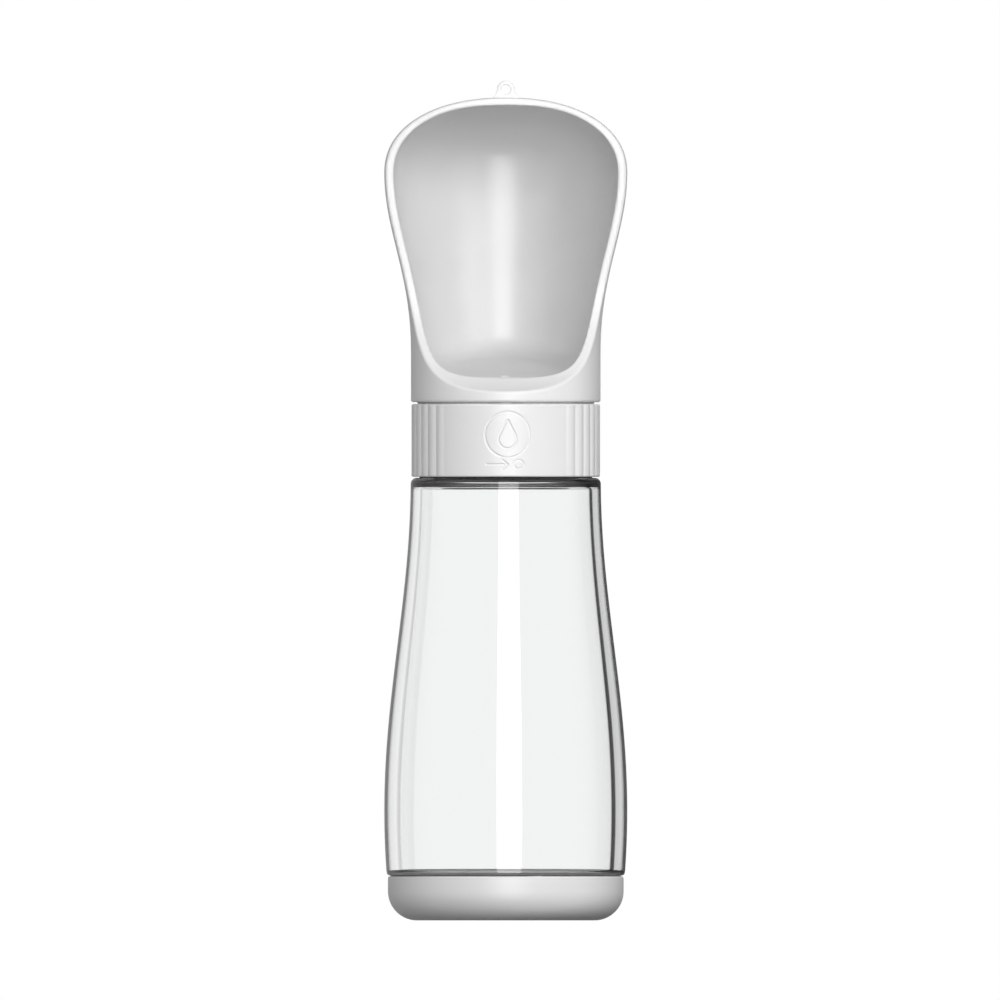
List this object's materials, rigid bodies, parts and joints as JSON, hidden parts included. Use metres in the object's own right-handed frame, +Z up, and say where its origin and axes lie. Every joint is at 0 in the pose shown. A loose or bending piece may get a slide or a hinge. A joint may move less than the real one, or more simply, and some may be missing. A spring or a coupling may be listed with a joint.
{
  "type": "pet travel water bottle",
  "caption": "Clear travel water bottle for dogs with a twist ring that opens its water valve, a scoop-shaped drinking bowl on top, a screw-off base cap and a lanyard lug.",
  "frame": {"origin": "centre of the base cap's standing face", "axes": "+Z up along the bottle's axis, -Y towards the open front of the scoop, +X to the right as seen from the front"},
  "size_m": [0.08, 0.08, 0.2764],
  "materials": {
    "clear_plastic": "clear copolyester, polished in the mould",
    "white_plastic": "white ABS, satin from the mould",
    "natural_plastic": "natural acetal, as moulded",
    "dark_silicone": "dark grey silicone, matte",
    "grey_silicone": "grey silicone, matte",
    "white_silicone": "milky white silicone, matte",
    "screw_steel": "stainless steel, bright"
  },
  "bodies": {
    "base": {"base_cap": "white_plastic"},
    "base_seal": {"base_gasket": "grey_silicone"},
    "bottle": {"bottle_body": "clear_plastic"},
    "neck_seal": {"neck_gasket": "dark_silicone"},
    "head": {"scoop": "white_plastic", "lanyard_lug": "white_plastic", "neck_cap": "natural_plastic", "vent_valve": "white_silicone", "lower_port_seal": "white_silicone", "upper_port_seal": "white_silicone", "pivot_screw": "screw_steel", "sealing_washer": "dark_silicone"},
    "ring": {"valve_disc": "natural_plastic", "twist_ring": "white_plastic"}
  },
  "joints": [
    {"name": "base_lift", "type": "slide", "parent": "base", "child": "base_seal", "axis": [0, 0, 1], "range_m": [0, 0.008]},
    {"name": "base_turn", "type": "hinge", "parent": "base_seal", "child": "bottle", "pos_m": [0, 0, 0.0145], "axis": [0, 0, 1], "range_deg": [0, 720]},
    {"name": "head_rise", "type": "slide", "parent": "bottle", "child": "neck_seal", "axis": [0, 0, 1], "range_m": [0, 0.016]},
    {"name": "head_turn", "type": "hinge", "parent": "neck_seal", "child": "head", "pos_m": [0, 0, 0.1457], "axis": [0, 0, 1], "range_deg": [0, 720]},
    {"name": "ring_turn", "type": "hinge", "parent": "head", "child": "ring", "pos_m": [0, 0, 0.1657], "axis": [0, 0, 1], "range_deg": [0, 60]}
  ],
  "couplings": [
    {"joint": "base_lift", "follows": "base_turn", "m_per_rad": 0.00063662},
    {"joint": "head_rise", "follows": "head_turn", "m_per_rad": 0.0012732}
  ]
}
